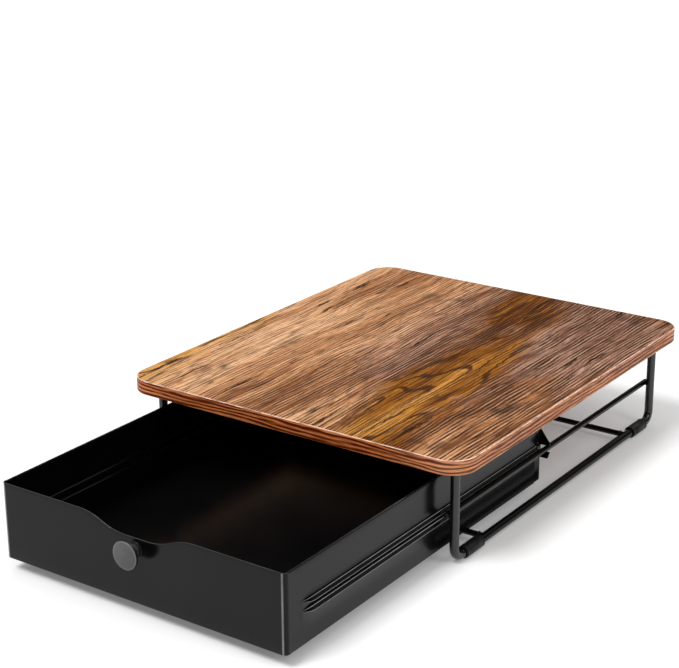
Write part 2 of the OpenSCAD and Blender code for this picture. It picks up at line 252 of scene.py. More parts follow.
# The top's colours by tone, in its brown, amber and mauve parts
WOOD_STOPS = (0.20, 0.38, 0.52, 0.66, 0.84)
BROWN = (
    (0.080, 0.022, 0.006),
    (0.260, 0.096, 0.034),
    (0.460, 0.196, 0.080),
    (0.660, 0.325, 0.150),
    (0.840, 0.480, 0.260),
)
AMBER = (
    (0.050, 0.012, 0.001),
    (0.150, 0.042, 0.003),
    (0.300, 0.104, 0.009),
    (0.480, 0.190, 0.026),
    (0.700, 0.340, 0.085),
)
MAUVE = (
    (0.090, 0.036, 0.022),
    (0.260, 0.126, 0.084),
    (0.460, 0.256, 0.180),
    (0.660, 0.410, 0.300),
    (0.840, 0.590, 0.450),
)
CONTOUR_BROWN = (0.060, 0.016, 0.003)
PALE_LINE = (0.840, 0.550, 0.360)
THICK_LINE = (0.060, 0.018, 0.006)
THIN_LINE = (0.034, 0.010, 0.004)
# How far the grain bends to the sides: slowly, more quickly, and in a fine ripple
DRIFT, WANDER, RIPPLE = 0.055, 0.013, 0.0034
# The share of that bend which the fine lines take part in
LINE_BEND = 0.45
THIN_PITCH, THICK_PITCH = 0.0034, 0.0063
# Growth rings: radians of their wave from the least to the greatest value of the field under them
RINGS = 120.0
# The amber zones' slanting wave: radians to a metre across and along, and at the object's middle
ZONE_ACROSS, ZONE_ALONG, ZONE_AT = 24.0, 3.6, -0.14


def wood_top():
    """Rustic brown laminate, grained along Y: wavy figure, amber and mauve parts, pores, checks."""
    s = Shader("wood_top", 0.3, specular=0.07)
    x, y, z = s.xyz()

    # Bent coordinates, which give the grain its run
    drift = s.centred(s.noise((5, 2.6, 1), detail=2, shift=(3.1, 0.4, 0)), DRIFT)
    wander = s.centred(s.noise((30, 12, 1), detail=3, shift=(0, 7.7, 0)), WANDER)
    ripple = s.centred(s.noise((80, 105, 1), detail=2, shift=(1.9, 0.2, 0)), RIPPLE)
    across = s.add(s.add(x, drift), s.add(wander, ripple))
    bent = s.join(across, y, z)
    even = s.join(s.add(x, s.times(s.add(drift, wander), LINE_BEND)), y, z)
    even_x = s.xyz(even)[0]

    # Textures, from the broadest to the finest
    patch = s.noise((13, 7, 1), detail=3, place=bent, shift=(5.3, 1.2, 0))
    board = s.noise((22, 2.6, 1), detail=3, place=bent)
    field = s.noise((18, 2.6, 1), detail=2, place=bent, shift=(4.4, 0.9, 0))
    rings = s.math("SINE", s.times(field, RINGS))
    soot = s.noise((26, 15, 1), detail=4, rough=0.6, place=bent, shift=(8.3, 6.2, 0))
    streak = s.noise((125, 7, 1), detail=4, rough=0.6, place=bent)
    check = s.noise((150, 9, 1), detail=5, rough=0.66, place=bent, shift=(9.1, 2.2, 0))
    pores = s.noise((330, 20, 1), detail=3, rough=0.6, place=even)
    threads = s.noise((520, 34, 1), detail=2, rough=0.6, place=even, shift=(2.2, 5.1, 0))
    saw = s.noise((60, 520, 1), detail=2, rough=0.5)

    def lines(pitch, sway, breaks, shift):
        """Long lines that sway and break off here and there, and the gaps between them: 1 there."""
        swing = s.centred(s.noise((70, 9, 1), detail=2, place=even, shift=shift), sway)
        wave = s.wave(even_x, pitch, swing)
        mask = s.noise(breaks, detail=3, rough=0.6, place=even, shift=shift)
        mask = s.span(mask, 0.38, 0.56)
        return s.times(s.span(wave, 0.0, 0.45), mask), s.times(s.span(wave, -0.2, -0.7), mask)

    thin, between = lines(THIN_PITCH, 6.0, (150, 24, 1), (0.7, 3.3, 0))
    thick, _ = lines(THICK_PITCH, 12.0, (70, 10, 1), (6.1, 1.4, 0))

    # Tone, paler at the left edge, darker at the right edge and a little darker at the rear
    tone = s.add(s.centred(streak, 0.95), s.centred(board, 1.3))
    left = s.span(across, -0.03, -0.13, 0, 0.24)
    right = s.span(across, 0.115, 0.165, 0, -0.12)
    tone = s.add(tone, s.span(y, 0.10, 0.22, 0.5, 0.40), s.add(left, right))
    brown, amber, mauve = (
        s.ramp(tone, list(zip(WOOD_STOPS, colours))) for colours in (BROWN, AMBER, MAUVE)
    )

    # Mauve patches on the right, mostly at the rear; amber in slanting zones with dark growth rings
    back = s.add(patch, s.span(y, -0.06, 0.06, -0.25, 0.05))
    base = s.mix(s.times(s.span(back, 0.38, 0.52), s.span(across, -0.06, 0.02)), brown, mauve)
    leaning = s.add(s.times(across, ZONE_ACROSS), s.times(y, ZONE_ALONG))
    zone = s.add(s.math("SINE", s.add(leaning, ZONE_AT)), s.centred(patch, -1.6))
    gold = s.span(zone, 0.44, 0.86)
    base = s.mix(gold, base, amber)
    contour = s.times(s.span(rings, 0.55, 0.92, 0, 0.95), s.span(gold, 0, 1, 0.35, 1))
    base = s.mix(contour, base, CONTOUR_BROWN)

    # Lines, weaker in the amber zones and at the left
    calm = s.times(s.span(gold, 0, 1, 1.0, 0.75), s.span(across, -0.12, 0.02, 0.55, 1.0))
    base = s.mix(s.times(between, s.span(gold, 0, 1, 0.34, 0.05)), base, PALE_LINE)
    base = s.mix(s.times(thick, s.times(calm, 0.45)), base, THICK_LINE)
    base = s.mix(s.times(thin, s.times(calm, 0.92)), base, THIN_LINE)
    base = s.marks(
        base,
        [
            (threads, 0.57, 0.68, 0.65, (0.040, 0.012, 0.005)),
            (pores, 0.60, 0.70, 0.60, (0.042, 0.014, 0.006)),
            (check, 0.60, 0.66, 0.92, (0.018, 0.006, 0.002)),
            (soot, 0.60, 0.74, 0.75, (0.030, 0.014, 0.010)),
            (saw, 0.52, 0.72, 0.28, (0.070, 0.028, 0.012)),
        ],
    )
    s.colour(base)
    s.roughness(s.spread(pores, 0.22, 0.34))
    s.bump(s.add(s.times(pores, -0.6), s.times(check, -0.5)), strength=0.20, depth=0.2)
    return s.material


# The edge band's colours by tone
EDGE_TONES = (
    (0.18, (0.060, 0.009, 0.001)),
    (0.36, (0.190, 0.042, 0.005)),
    (0.50, (0.340, 0.095, 0.018)),
    (0.64, (0.500, 0.180, 0.055)),
    (0.82, (0.720, 0.340, 0.160)),
)
EDGE_PALE_LINE = (0.840, 0.370, 0.190)
EDGE_DARK_LINE = (0.060, 0.008, 0.001)
EDGE_PITCH = 0.0032
# The band's front and left take a darker, redder tint; its right side keeps the untinted colour
# with a paler one mixed in, painted light as if lit from the right. Then the values of X between
# which one turns into the other
EDGE_FRONT_TINT = (0.93, 0.72, 0.56)
EDGE_RIGHT_PAINTED_LIGHT = (0.80, 0.55, 0.45)
EDGE_TURN = (0.09, 0.155)
# The worn line at the top arris starts and is full at these heights, just under the board's top
ARRIS_WEAR = (0.09640, 0.09662)
ARRIS_PALE = (0.880, 0.600, 0.460)


def wood_edge():
    """Red brown edge band: long dark and pale lines along it, and a worn line at its top arris."""
    s = Shader("wood_edge", 0.35, specular=0.04)
    x, y, z = s.xyz()
    lifted = s.join(x, y, s.add(z, s.centred(s.noise((14, 14, 30), detail=3), 0.009)))
    band = s.noise((13, 13, 330), detail=3, rough=0.6, place=lifted)
    line = s.noise((30, 30, 1000), detail=3, rough=0.62, place=lifted, shift=(0, 0, 3.3))
    fine = s.noise((55, 55, 2100), detail=2, place=lifted, shift=(1, 4, 0))
    slow = s.noise(9, detail=2, shift=(2, 5, 1))
    tone = s.add(s.centred(band, 1.2), s.centred(line, 1.1), s.centred(slow, 0.5), 0.5)
    base = s.ramp(tone, EDGE_TONES)

    swing = s.centred(s.noise((16, 16, 90), detail=2, place=lifted, shift=(5, 1, 2)), 13.0)
    wave = s.wave(z, EDGE_PITCH, swing)
    broken = s.span(s.noise((30, 30, 260), detail=3, place=lifted, shift=(3, 7, 2)), 0.32, 0.48)
    base = s.mix(s.times(s.span(wave, -0.1, -0.7, 0, 0.60), broken), base, EDGE_PALE_LINE)
    base = s.mix(s.times(s.span(wave, 0.1, 0.6, 0, 0.92), broken), base, EDGE_DARK_LINE)
    base = s.marks(
        base,
        [
            (line, 0.56, 0.66, 0.80, (0.050, 0.010, 0.003)),
            (fine, 0.56, 0.70, 0.45, (0.070, 0.016, 0.005)),
        ],
    )
    # Painted light: the right side is paler than the front and left, as if lit from the right
    front = s.mix(1.0, base, EDGE_FRONT_TINT, "MULTIPLY")
    right = s.mix(0.05, base, EDGE_RIGHT_PAINTED_LIGHT)
    base = s.mix(s.span(x, *EDGE_TURN), front, right)
    worn = s.span(s.noise(160, detail=2), 0.35, 0.6, 0.40, 0.90)
    s.colour(s.mix(s.times(s.span(z, *ARRIS_WEAR), worn), base, ARRIS_PALE))
    s.roughness(s.spread(line, 0.26, 0.40))
    s.bump(line, strength=0.15, depth=0.12)
    return s.material


def rubber():
    """Moulded black rubber: slow changes of tone and a fine dull texture."""
    s = Shader("black_rubber", 0.5, specular=0.22)
    fine = s.noise(1400, detail=2)
    s.colour(s.two_tone(s.noise(90, detail=3), (0.006, 0.006, 0.007), (0.014, 0.014, 0.015)))
    s.roughness(s.spread(fine, 0.36, 0.52))
    s.bump(fine, strength=0.12, depth=0.1)
    return s.material


def bright_steel():
    """Zinc plated steel with short brush marks along Y."""
    s = Shader("bright_steel", 0.36, metallic=1.0)
    brush = s.noise((5200, 500, 5200), detail=3)
    s.colour(s.two_tone(s.noise(400, detail=3), (0.42, 0.42, 0.41), (0.62, 0.62, 0.60)))
    s.roughness(s.spread(brush, 0.28, 0.46))
    s.bump(brush, strength=0.1, depth=0.05)
    return s.material


def pale_floor():
    """A backlit white table: the glow keeps every shadow on it light."""
    s = Shader("pale_floor", 0.7, specular=0.0)
    s.colour(s.two_tone(s.noise(2, detail=2), grey(0.78), grey(0.80)))
    s.bsdf.inputs["Emission Color"].default_value = (1, 1, 1, 1)
    s.bsdf.inputs["Emission Strength"].default_value = 0.17
    return s.material


# On the knob's face, the painted highlight round the rim: where it starts and where it is full,
# inwards from the outer radius
RIM_HIGHLIGHT = (0.0012, 0.0007)
# The face's finish ends between these depths behind the front of the head
FACE_END = (0.0011, 0.0007)


def knob_coat(low, high):
    """Black paint on the knob's sides, and a paler, finely turned face with painted light: lighter
    towards its upper left, with a painted highlight round its rim.
    """
    s = Shader("black_knob", 0.36, specular=0.30)
    x, y, z = s.xyz()
    slow = s.noise(120, detail=3)
    fine = s.noise(1500, detail=2)
    side = s.two_tone(slow, grey(0.004), grey(0.007))
    face = s.ramp(fine, [(0.25, (0.038, 0.038, 0.039)), (0.75, (0.052, 0.052, 0.053))])
    up = s.math("SUBTRACT", z, (low.z + high.z) / 2)
    # Painted light: the face is lighter towards its upper left, as if lit from there, with a slow
    # noise in it
    painted_sheen = s.add(s.times(s.math("SUBTRACT", up, x), 40.0), s.centred(slow, 1.2))
    face = s.mix(s.span(painted_sheen, -0.6, 0.6, 0, 0.65), face, (0.125, 0.125, 0.127))
    out = s.math("SQRT", s.add(s.times(x, x), s.times(up, up)))
    radius = (high.x - low.x) / 2
    # Painted highlight: a paler ring just inside the face's outer edge
    rim = s.span(out, radius - RIM_HIGHLIGHT[0], radius - RIM_HIGHLIGHT[1], 0, 0.45)
    face = s.mix(rim, face, (0.190, 0.190, 0.192))
    s.colour(s.mix(s.span(y, low.y + FACE_END[0], low.y + FACE_END[1]), side, face))
    s.roughness(s.spread(fine, 0.32, 0.42))
    s.bump(fine, strength=0.10, depth=0.08)
    return s.material


ENDS, SIDES = ("front", "rear"), ("left", "right")
ROD_PAINT = {"tone": (0.0026, 0.0026, 0.0027), "smooth": 0.13, "rough": 0.19, "grain": 900}
SHEET_PAINT = {"tone": (0.0022, 0.0021, 0.0022), "smooth": 0.16, "rough": 0.22, "grain": 1100}
MATERIALS = {
    "wood_top": wood_top(),
    "wood_edge": wood_edge(),
    "black_rod": powder_coat("black_rod", **ROD_PAINT, specular=0.20),
    "black_sheet": powder_coat("black_sheet", **SHEET_PAINT, specular=0.18),
    "black_knob": knob_coat(*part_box("knob_head")),
    "black_rubber": rubber(),
    "bright_steel": bright_steel(),
}
# The upright legs are glossier than the level rods, and the rivets are painted with the drawer
leg_coat = powder_coat("black_leg", **ROD_PAINT, specular=0.58)
OWN_FINISH = {f"{end}_leg_{side}": leg_coat for end in ENDS for side in SIDES}
OWN_FINISH["bracket_rivets"] = MATERIALS["black_sheet"]
for part in frame["record"]["subparts"]:
    node = frame["nodes"][part["node"]]
    finish = OWN_FINISH.get(part["node"], MATERIALS[part["material_slot"]])
    if not node.material_slots:
        node.data.materials.append(finish)
    for held in node.material_slots:
        held.material = finish


# ---------------------------------------------------------- mesh helpers
def piece(name, points, faces, body, slot, sharp):
    """A closed mesh piece in metres that rides on a body and takes the material of a slot.

    Edges that turn by more than sharp degrees stay sharp."""
    data = bpy.data.meshes.new(name)
    data.from_pydata([tuple(p) for p in points], [], faces)
    data.validate()
    outward = bmesh.new()
    outward.from_mesh(data)
    bmesh.ops.recalc_face_normals(outward, faces=outward.faces)
    outward.to_mesh(data)
    outward.free()
    for polygon in data.polygons:
        polygon.use_smooth = True
    data.set_sharp_from_angle(angle=math.radians(sharp))
    data.materials.append(MATERIALS[slot])
    made = bpy.data.objects.new(name, data)
    scene.collection.objects.link(made)
    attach(made, body)
    return made


def grid(rows, columns, wrap_rows=False):
    """Quads over rows x columns points that are listed row by row; each row closes on itself."""
    faces = []
    for i in range(rows if wrap_rows else rows - 1):
        for j in range(columns):
            a, b = i * columns + j, i * columns + (j + 1) % columns
            c = ((i + 1) % rows) * columns + (j + 1) % columns
            d = ((i + 1) % rows) * columns + j
            faces.append([a, b, c, d])
    return faces


def tube(rows, columns):
    """Faces of a tube with flat ends over rows x columns points."""
    last = (rows - 1) * columns
    ends = [list(range(columns)), [last + k for k in reversed(range(columns))]]
    return grid(rows, columns) + ends


def square_axes(axis):
    """The axis and two more at right angles to it, all of length 1."""
    axis = Vector(axis).normalized()
    side = axis.orthogonal().normalized()
    return axis, side, axis.cross(side)


def arc(cx, cy, r, start, end, steps):
    """Points of an arc in degrees, both ends included."""
    made = []
    for k in range(steps + 1):
        a = math.radians(start + (end - start) * k / steps)
        made.append((cx + r * math.cos(a), cy + r * math.sin(a)))
    return made


def lathe(name, profile, origin, axis, body, slot, turns, sharp):
    """Revolves (radius, height) points in mm round an axis; a zero radius at an end closes it."""
    axis, side, other = square_axes(axis)
    points, rings = [], []
    for radius, height in profile:
        if radius == 0:
            rings.append([len(points)])
            points.append(Vector(origin) + axis * height * MM)
            continue
        ring = []
        for k in range(turns):
            a = 2 * math.pi * k / turns
            ring.append(len(points))
            out = side * math.cos(a) + other * math.sin(a)
            points.append(Vector(origin) + out * radius * MM + axis * height * MM)
        rings.append(ring)
    faces = []
    for lower, upper in zip(rings, rings[1:]):
        for k in range(turns):
            n = (k + 1) % turns
            if len(lower) == 1:
                faces.append([lower[0], upper[n], upper[k]])
            elif len(upper) == 1:
                faces.append([lower[k], lower[n], upper[0]])
            else:
                faces.append([lower[k], lower[n], upper[n], upper[k]])
    return piece(name, points, faces, body, slot, sharp)


def sweep(name, profile, path, normals, body, slot, closed=False):
    """Carries a closed profile of (outward, up) points in mm along a level path in mm."""
    points = []
    for (x, y, z), (nx, ny) in zip(path, normals):
        for out, up in profile:
            points.append(Vector(((x + nx * out) * MM, (y + ny * out) * MM, (z + up) * MM)))
    count = len(profile)
    faces = grid(len(path), count, wrap_rows=True) if closed else tube(len(path), count)
    return piece(name, points, faces, body, slot, sharp=50)


# ------------------------------------------------------------- edge band
band_low, band_high = (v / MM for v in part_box("edge_band"))
BOARD_CORNER = 22.0
# The band's thickness, and the radii of its rounded lower and upper edges
BAND, BAND_LOWER_R, BAND_UPPER_R = 1.0, 0.45, 0.6


def rounded_outline(low, high, radius, steps):
    """Outline with its outward normals, anticlockwise seen from above."""
    path, normals = [], []
    corners = [
        (high.x - radius, high.y - radius, 0),
        (low.x + radius, high.y - radius, 90),
        (low.x + radius, low.y + radius, 180),
        (high.x - radius, low.y + radius, 270),
    ]
    for cx, cy, start in corners:
        for k in range(steps + 1):
            a = math.radians(start + 90 * k / steps)
            n = (math.cos(a), math.sin(a))
            path.append((cx + radius * n[0], cy + radius * n[1], 0.0))
            normals.append(n)
    return path, normals


outline, outline_normals = rounded_outline(band_low, band_high, BOARD_CORNER, steps=24)
band_profile = (
    [(-BAND, band_low.z), (-BAND_LOWER_R, band_low.z)]
    + arc(-BAND_LOWER_R, band_low.z + BAND_LOWER_R, BAND_LOWER_R, -90, 0, 5)[1:]
    + arc(-BAND_UPPER_R, band_high.z - BAND_UPPER_R, BAND_UPPER_R, 0, 90, 6)
    + [(-BAND, band_high.z)]
)
band = sweep(
    "edge_band_rounded", band_profile, outline, outline_normals, "stand", "wood_edge", closed=True
)
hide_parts("edge_band")


# ---------------------------------------------------------- drawer walls
shell_low, shell_high = (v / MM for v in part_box("drawer_shell"))
back_low, back_high = (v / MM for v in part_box("drawer_back"))
rail_low, rail_high = (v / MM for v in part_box("guide_rail_right"))
SHEET = 1.0
# How high the sheet's rounded edges are, a little under half its thickness
EDGE = 0.45
WALL = back_high.x + SHEET
FRONT, REAR = shell_low.y, shell_high.y
BOTTOM, TOP = shell_low.z, shell_high.z
# Outer radius of the two front corners
BEND = 3.8
RAIL_Z = (rail_low.z + rail_high.z) / 2
# The ridges' front tip, and the length over which they grow to their full section
NOSE, NOSE_LENGTH = FRONT + 19.0, 13.0
# Share of a ridge's height that is left at its tip
NOSE_TIP = 0.12
# The front panel's finger scoop: half its flat bottom, the width of each flank, and its depth
SCOOP_FLAT, SCOOP_FLANK, SCOOP_DEPTH = 10.0, 45.0, 10.0
SCOOP_END = SCOOP_FLAT + SCOOP_FLANK
# The side walls end this far below the top, and the hem laps over them
HEM_LAP = 1.0

# Middles of the two pressed ridges
RIDGE_MIDDLES = (RAIL_Z - 4.6, RAIL_Z + 2.95)
# Section of a ridge, upwards. It rolls out to a crest at its lower edge, leans back to an arris,
# and slopes up to the wall with a hollow foot, which is wide above the upper ridge. Heights are
# from the ridge's middle, and LEAN and SLOPE are degrees.
CREST, CREST_OUT, CREST_R = -1.5, 2.1, 0.55
LEAN, SLOPE = 24.0, 60.0
ARRIS = 1.62
HOLLOWS = (1.2, 8.0)
# The under side of the crest: (below the crest's middle, how far it stands out)
CREST_UNDER = ((1.3, 0.0), (1.15, 0.12), (1.0, 0.6), (0.75, 1.3))
# The ridge on the inside of the sheet: half its height, how far it stands out, and its sharpness
INNER_HALF, INNER_OUT, INNER_SHARPNESS = 1.9, 1.3, 1.3

# Strength of the painted highlight, a pale line in the paint, on a crest, along the panel's top
# edge and on the front corners
CREST_HIGHLIGHT, TOP_HIGHLIGHT, CORNER_HIGHLIGHT = 0.6, 0.12, 0.46
# The painted highlight down each front corner: its middle, half width and fade, in degrees round
# the bend from the front
STRIP_MIDDLE, STRIP_FLAT, STRIP_FADE = 15.0, 6.0, 9.0


def ridge_section(hollow):
    """(height, how far it stands out, how strong its painted highlight is) of the outer face of a
    ridge.
    """
    crest = [(CREST + up, out) for out, up in arc(CREST_OUT, 0.0, CREST_R, -90, LEAN, 9)]
    section = [(CREST - down, out, 0.0) for down, out in CREST_UNDER]
    # Painted highlights: a pale line in the paint over the crest's roll, and further up along the
    # arris
    section += [(up, out, CREST_HIGHLIGHT if 3 <= k <= 8 else 0.0) for k, (up, out) in enumerate(crest)]
    up, out = crest[-1]
    arris_out = out - (ARRIS - up) * math.tan(math.radians(LEAN))
    for share, highlight_paint in ((0.06, 0.0), (0.5, 0.0), (0.87, 0.0), (0.94, 1.0), (1.0, 1.0)):
        section.append((up + (ARRIS - up) * share, out + (arris_out - out) * share, highlight_paint))
    foot_turn = math.radians(90 - SLOPE)
    hollow_out = hollow * (1 - math.cos(foot_turn))
    reach = (arris_out - hollow_out) / math.tan(foot_turn)
    for share in (0.12, 0.5):
        out = arris_out + (hollow_out - arris_out) * share
        section.append((ARRIS + reach * share, out, 0.0))
    foot = ARRIS + reach + hollow * math.sin(foot_turn)
    for k in range(9):
        a = foot_turn * (1 - k / 8)
        section.append((foot - hollow * math.sin(a), hollow * (1 - math.cos(a)), 0.0))
    return section


def inner_section(count):
    """The same for the inner face, with count points."""
    section = []
    for k in range(count):
        a = math.pi * k / (count - 1)
        out = INNER_OUT * max(0.0, math.sin(a)) ** INNER_SHARPNESS
        section.append((-INNER_HALF * math.cos(a), out, 0.0))
    return section


RIDGES_OUTER = [ridge_section(hollow) for hollow in HOLLOWS]
RIDGE_POINTS = len(RIDGES_OUTER[0])
RIDGES_INNER = [inner_section(RIDGE_POINTS)] * len(RIDGE_MIDDLES)

# A face of the sheet has two points below the ridges, the ridges', and HEAD_POINTS above them
HEAD_POINTS = 6
FACE_POINTS = 2 + len(RIDGE_MIDDLES) * RIDGE_POINTS + HEAD_POINTS
# Steps of the half circle over the sheet's top edge and under its bottom edge
ROLL_STEPS = 8
# The points of that half circle that carry the painted highlight along the top edge
TOP_HIGHLIGHTED = (2, 3, 4, 5)


def ridge_point(y, middle, height, out):
    """A ridge point at depth y: near the front the ridge narrows to a nose at its arris."""
    share = min(1.0, max(0.0, (y - NOSE) / NOSE_LENGTH))
    grow = math.sin(share * math.pi / 2) ** 0.9
    rise = math.sqrt(1 - (1 - share) ** 2)
    return middle + ARRIS + (height - ARRIS) * (NOSE_TIP + (1 - NOSE_TIP) * grow), out * rise


def scoop(x):
    """How far the front panel's top edge dips: each flank is two arcs, one hollow and one round."""
    x = abs(x)
    if x <= SCOOP_FLAT:
        return SCOOP_DEPTH
    if x >= SCOOP_END:
        return 0.0
    t = (x - SCOOP_FLAT) / SCOOP_FLANK
    radius = (SCOOP_FLANK**2 + SCOOP_DEPTH**2) / (4 * SCOOP_DEPTH)
    if t <= 0.5:
        return SCOOP_DEPTH - (radius - math.sqrt(radius**2 - (t * SCOOP_FLANK) ** 2))
    return radius - math.sqrt(radius**2 - ((1 - t) * SCOOP_FLANK) ** 2)


def wall_columns():
    """(x, y, nx, ny, kind) along the strip, from the right wall's rear round to the left's."""
    long_steps, nose_steps, bend_steps, flank_steps = 14, 24, 12, 30
    # The side wall: along the full ridges, closer together to their tips, and plain before them
    straight = REAR - NOSE - NOSE_LENGTH
    ys = [REAR - straight * k / long_steps for k in range(long_steps + 1)]
    ys += [NOSE + NOSE_LENGTH * (1 - k / nose_steps) ** 1.5 for k in range(1, nose_steps + 1)]
    ys += [NOSE - 6, FRONT + BEND + 0.4]
    right = [(WALL, y, 1.0, 0.0, "side") for y in ys]
    bend = []
    for k in range(bend_steps + 1):
        a = math.radians(-90 * k / bend_steps)
        nx, ny = math.cos(a), math.sin(a)
        bend.append((WALL - BEND + BEND * nx, FRONT + BEND + BEND * ny, nx, ny, "bend"))
    # The front panel: its straight part, the scoop's flank and the scoop's flat bottom
    xs = [WALL - BEND - 1, 100.0, 80.0, 64.0, SCOOP_END + 1]
    xs += [SCOOP_END - SCOOP_FLANK * k / flank_steps for k in range(flank_steps + 1)]
    xs += [SCOOP_FLAT / 2]
    half = right + bend + [(x, FRONT, 0.0, -1.0, "front") for x in xs]
    mirrored = [(-x, y, -nx, ny, kind) for x, y, nx, ny, kind in reversed(half)]
    return half + [(0.0, FRONT, 0.0, -1.0, "front")] + mirrored


def wall_ring(x, y, nx, ny, kind):
    """The sheet's closed section at one column, as points and the strength of the painted highlight
    at each.

    It runs up the outside, over the rounded top, down the inside, and back under the bottom."""
    side = kind == "side"
    top = TOP - (scoop(x) if kind == "front" else 0.0) - (HEM_LAP if side else 0.0) - EDGE
    bottom = BOTTOM + EDGE
    ridged = side and y > NOSE

    def face(sections, inset):
        made = [(bottom, -inset, 0.0), (BOTTOM + 10, -inset, 0.0)]
        for middle, section in zip(RIDGE_MIDDLES, sections):
            for height, out, highlight_paint in section:
                z, out = ridge_point(y, middle, height, out) if side else (middle + height, 0.0)
                made.append((z, out - inset, highlight_paint if ridged else 0.0))
        start = made[-1][0]
        for k in range(1, HEAD_POINTS + 1):
            made.append((start + (top - start) * k / HEAD_POINTS, -inset, 0.0))
        return made

    over = []
    for k in range(1, ROLL_STEPS):
        a = math.pi * k / ROLL_STEPS
        # Painted highlight along the front panel's top edge, none on the side walls
        highlight_paint = TOP_HIGHLIGHT if not side and k in TOP_HIGHLIGHTED else 0.0
        over.append((top + EDGE * math.sin(a), -SHEET / 2 * (1 - math.cos(a)), highlight_paint))
    under = [(bottom - (z - top), out, 0.0) for z, out, highlight_paint in reversed(over)]
    ring = face(RIDGES_OUTER, 0.0) + over + face(RIDGES_INNER, SHEET)[::-1] + under
    points = [Vector(((x + nx * out) * MM, (y + ny * out) * MM, z * MM)) for z, out, _ in ring]
    # The painted highlight down the front corners, strongest part way round the bend
    facing = abs(math.degrees(math.atan2(nx, -ny)))
    past_flat = max(0.0, abs(facing - STRIP_MIDDLE) - STRIP_FLAT)
    strip = CORNER_HIGHLIGHT * max(0.0, 1 - past_flat / STRIP_FADE)
    return points, [highlight_paint + (strip if k < FACE_POINTS else 0.0) for k, (_, _, highlight_paint) in enumerate(ring)]


def drawer_walls():
    """The drawer's bent strip: both side walls and the front panel, in one piece."""
    rings, painted_highlights = zip(*(wall_ring(*column) for column in wall_columns()))
    around = len(rings[0])
    faces = grid(len(rings), around)
    # The strip's two ends: a ladder of quads between the faces, and a cap at its top and bottom
    for start, order in ((0, -1), ((len(rings) - 1) * around, 1)):
        inner = start + 2 * FACE_POINTS + ROLL_STEPS - 2
        for k in range(FACE_POINTS - 1):
            faces.append([start + k, start + k + 1, inner - k - 1, inner - k][::order])
        over = [start + FACE_POINTS - 1 + k for k in range(ROLL_STEPS + 1)]
        under = [inner + k for k in range(ROLL_STEPS)] + [start]
        faces.append(over[::order])
        faces.append(under[::order])
    points = [point for ring in rings for point in ring]
    made = piece("drawer_walls", points, faces, "drawer", "black_sheet", sharp=55)
    # The painted highlights, kept as a mesh attribute for the paint's shader
    painted_highlight = made.data.attributes.new(PAINTED_HIGHLIGHT, "FLOAT", "POINT")
    painted_highlight.data.foreach_set("value", [value for row in painted_highlights for value in row])
    return made


walls = drawer_walls()
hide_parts("drawer_shell")

# The hem: the side walls' top edge folded over and down on the inside. Its section has its zero
# at the wall's outer face.
HEM_R, HEM_DEPTH, HEM_TOE_R = 1.0, 5.0, 0.25
hem_profile = (
    arc(-HEM_R, 0.0, HEM_R, 0, 180, 14)
    + [(-2 * HEM_R, -HEM_DEPTH)]
    + arc(HEM_TOE_R - 2 * HEM_R, -HEM_DEPTH, HEM_TOE_R, 180, 270, 3)[1:]
    # Back up just inside the wall's inner face, and in over the wall's top
    + [(-1.15, -HEM_DEPTH - HEM_TOE_R), (-1.05, -HEM_DEPTH), (-1.05, -0.15), (-0.9, -0.02)]
)
for side, label in ((1, "right"), (-1, "left")):
    ys = [FRONT + BEND - 0.6, FRONT + 120, REAR - 60, back_low.y - 0.05]
    path = [(side * WALL, y, TOP - HEM_LAP) for y in ys]
    sweep("hem_" + label, hem_profile, path, [(side, 0.0)] * len(ys), "drawer", "black_sheet")


# ------------------------------------------------------------------ knob
knob_low, knob_high = (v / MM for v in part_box("knob_head"))
KNOB_R = (knob_high.x - knob_low.x) / 2
# Heights in both profiles are how far a point stands out from the front panel
KNOB_OUT = FRONT - knob_low.y
# The screw's bore: its radius, and the height of its blind end; and the washer's thickness
BORE_R, BORE_END, WASHER = 2.0, 8.0, 1.6
FORWARDS = (0, -1, 0)
knob_at = Vector((0, FRONT * MM, (knob_low.z + knob_high.z) / 2 * MM))
knob_profile = (
    # The screw's blind bore, and the foot on the washer
    [(0, BORE_END), (BORE_R, BORE_END), (BORE_R, WASHER), (5.6, WASHER), (5.6, 2.1)]
    # The waisted neck, and how it opens out behind the head
    + arc(7.0, 4.6, 2.2, 225, 150, 5)
    + [(4.9, 6.2), (5.4, 7.2), (6.6, 7.9), (8.3, 8.3)]
    + [(8.5, 8.45), (8.5, 8.75), (9.4, 9.0), (9.6, 9.1), (9.6, 9.45), (10.3, 9.6)]
    # The head's rounded rim
    + arc(KNOB_R - 0.9, KNOB_OUT - 2.3, 0.9, -70, 0, 5)
    + [(KNOB_R, KNOB_OUT - 1.4)]
    + arc(KNOB_R - 1.0, KNOB_OUT - 1.3, 1.0, 5, 80, 7)
    # The slightly domed face
    + [(KNOB_R * 0.8, KNOB_OUT - 0.26), (KNOB_R * 0.5, KNOB_OUT - 0.10)]
    + [(KNOB_R * 0.2, KNOB_OUT - 0.02), (0, KNOB_OUT)]
)
knob = lathe(
    "knob_turned", knob_profile, knob_at, FORWARDS, "drawer", "black_knob", turns=96, sharp=40
)
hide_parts("knob_head")
base_profile = (
    [(BORE_R, 0.0), (6.4, 0.0)]
    + arc(6.0, 0.5, 0.5, -60, 0, 3)
    + arc(6.0, 1.1, 0.5, 0, 90, 5)
    + [(5.7, WASHER), (BORE_R, WASHER), (BORE_R, 0.0)]
)
base = lathe(
    "knob_washer", base_profile, knob_at, FORWARDS, "drawer", "black_knob", turns=72, sharp=40
)
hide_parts("knob_base")


# --------------------------------------------------------------- sleeves
# Radius of the legs and floor bars, of a sleeve's outer rims, and the depth of its grooves
ROD_R, SLEEVE_RIM, GROOVE = 3.75, 0.9, 0.12
BACKWARDS = (0, 1, 0)


